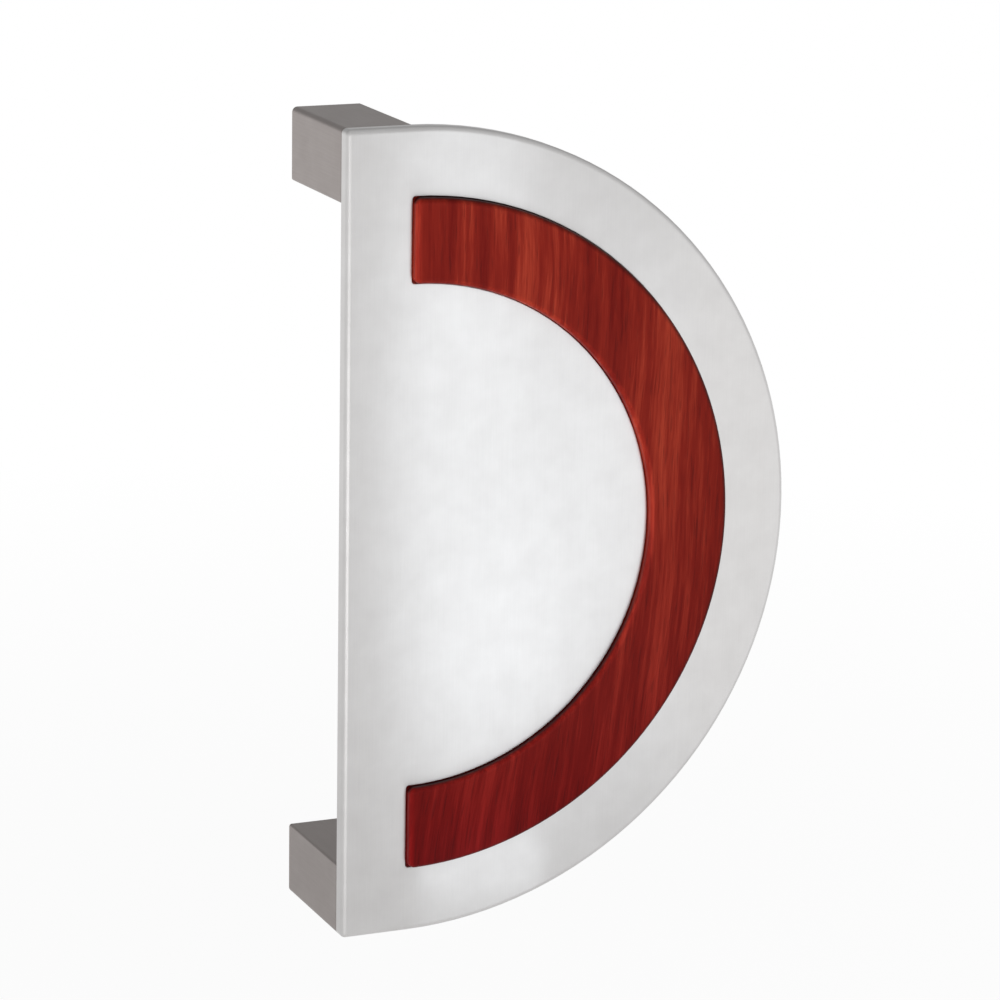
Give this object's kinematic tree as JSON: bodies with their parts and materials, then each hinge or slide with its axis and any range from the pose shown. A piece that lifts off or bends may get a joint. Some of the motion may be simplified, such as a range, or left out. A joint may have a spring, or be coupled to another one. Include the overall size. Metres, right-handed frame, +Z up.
{
  "type": "door pull handle",
  "caption": "D-shaped door pull: a half-disc satin metal plate with a curved hardwood inlay, held off the door on square posts that are tapped from behind for through-bolts.",
  "frame": {"origin": "midway between the two door-bolt holes, on the plane of the posts' back faces, which is the door's face", "axes": "+Z up along the plate's straight edge, +Y from the handle into the door so that the front faces -Y, +X towards the curved side"},
  "size_m": [0.176, 0.0595, 0.3],
  "materials": {
    "plate_metal": "pale, even, fine-grained satin",
    "inlay_wood": "red-brown hardwood, straight upright grain, satin lacquer",
    "post_metal": "satin, a little darker than the plate",
    "screw_steel": "plain steel, concealed"
  },
  "bodies": {
    "root": {"face_plate": "plate_metal", "wood_inlay": "inlay_wood", "upper_post": "post_metal", "lower_post": "post_metal", "post_screws": "screw_steel"}
  },
  "joints": []
}
